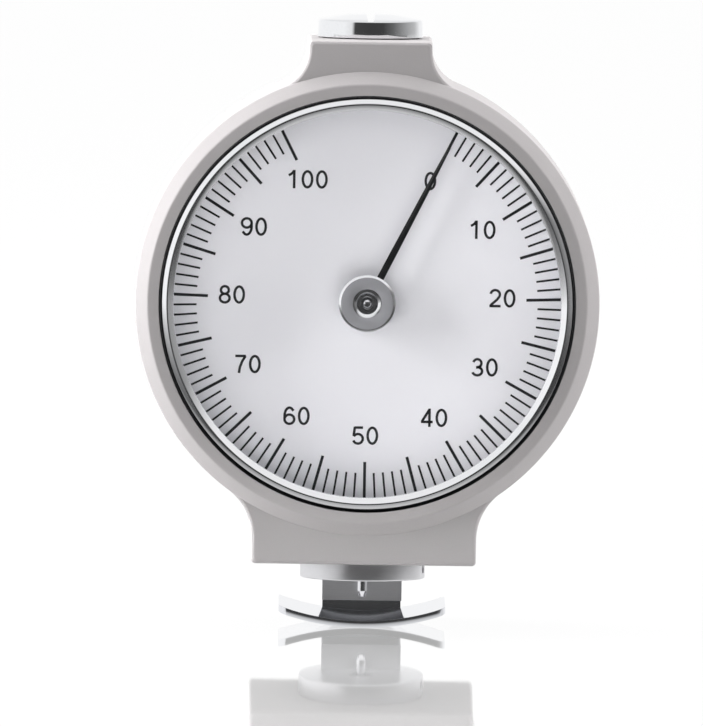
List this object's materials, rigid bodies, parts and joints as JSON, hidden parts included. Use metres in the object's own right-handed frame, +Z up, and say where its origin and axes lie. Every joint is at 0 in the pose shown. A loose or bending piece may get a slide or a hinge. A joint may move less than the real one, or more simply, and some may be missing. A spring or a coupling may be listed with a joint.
{
  "type": "hardness tester",
  "caption": "Hand-held dial hardness tester: round metal case with neck and foot, glazed dial with pointer, spring-loaded indenter in a presser foot, and a curved guard strip below it.",
  "frame": {"origin": "centre of the presser foot's bottom face, on the spindle axis", "axes": "+Z up along the spindle towards the cap, the dial faces -Y, +X to the right of the dial"},
  "size_m": [0.0582, 0.025, 0.0773],
  "materials": {
    "case_paint": "fine-textured warm light grey paint",
    "bezel_steel": "polished turned steel",
    "cap_chrome": "chromed",
    "satin_steel": "fine turned satin",
    "mirror_steel": "mirror polished",
    "hard_steel": "hardened and ground",
    "spindle_steel": "ground",
    "screw_steel": "plain steel",
    "spring_steel": "drawn spring wire",
    "hub_steel": "polished with a bright bevel",
    "pointer_black": "black lacquer",
    "dial_silver": "satin silver white with black printed scale",
    "spacer_aluminium": "matt",
    "crystal_glass": "clear",
    "movement_brass": "machined",
    "bush_bronze": "machined",
    "seal_rubber": "matt black"
  },
  "bodies": {
    "case_body": {"case": "case_paint", "rear_cover": "case_paint", "cover_gasket": "seal_rubber", "cover_screws": "screw_steel", "bezel_ring": "bezel_steel", "bezel_snap_ring": "spring_steel", "crystal": "crystal_glass", "crystal_seal": "seal_rubber", "spacer_ring": "spacer_aluminium", "dial_plate": "dial_silver", "front_plate": "movement_brass", "plate_screws": "screw_steel", "pillars": "movement_brass", "rear_bridge": "movement_brass", "bridge_screws": "screw_steel", "centre_bush_front": "bush_bronze", "centre_bush_rear": "bush_bronze", "gear_bush_front": "bush_bronze", "gear_bush_rear": "bush_bronze", "hairspring": "spring_steel", "hairspring_stud": "movement_brass", "guide_fork": "movement_brass", "fork_screws": "screw_steel", "lower_guide_bush": "bush_bronze", "spring_adjuster": "movement_brass", "adjuster_locknut": "movement_brass", "cap_washer": "seal_rubber", "top_cap": "cap_chrome", "presser_foot": "satin_steel", "foot_stirrup": "mirror_steel", "stirrup_screws": "screw_steel", "main_spring": "spring_steel"},
    "spindle_body": {"spindle": "spindle_steel", "indenter": "hard_steel", "guide_pin": "hard_steel", "spring_seat": "movement_brass"},
    "gear_body": {"gear_arbor": "spindle_steel", "rack_pinion": "spindle_steel", "drive_wheel": "movement_brass", "wheel_hub": "movement_brass"},
    "pointer_body": {"centre_arbor": "spindle_steel", "centre_pinion": "spindle_steel", "hairspring_collet": "movement_brass", "pointer": "pointer_black", "pointer_hub": "hub_steel"}
  },
  "joints": [
    {"name": "spindle_slide", "type": "slide", "parent": "case_body", "child": "spindle_body", "axis": [0, 0, 1], "range_m": [0, 0.0025], "stiffness_N_per_m": 3000, "springref_m": -0.00018, "deforming": ["main_spring"]},
    {"name": "gear_spin", "type": "hinge", "parent": "case_body", "child": "gear_body", "pos_m": [-0.00375, 0, 0.0273], "axis": [0, 1, 0], "range_deg": [-63.8, 0]},
    {"name": "pointer_spin", "type": "hinge", "parent": "case_body", "child": "pointer_body", "pos_m": [0, 0, 0.03515], "axis": [0, 1, 0], "range_deg": [0, 306.1], "deforming": ["hairspring"]}
  ],
  "couplings": [
    {"joint": "gear_spin", "follows": "spindle_slide", "rad_per_m": -445.06},
    {"joint": "pointer_spin", "follows": "spindle_slide", "rad_per_m": 2136.3}
  ]
}
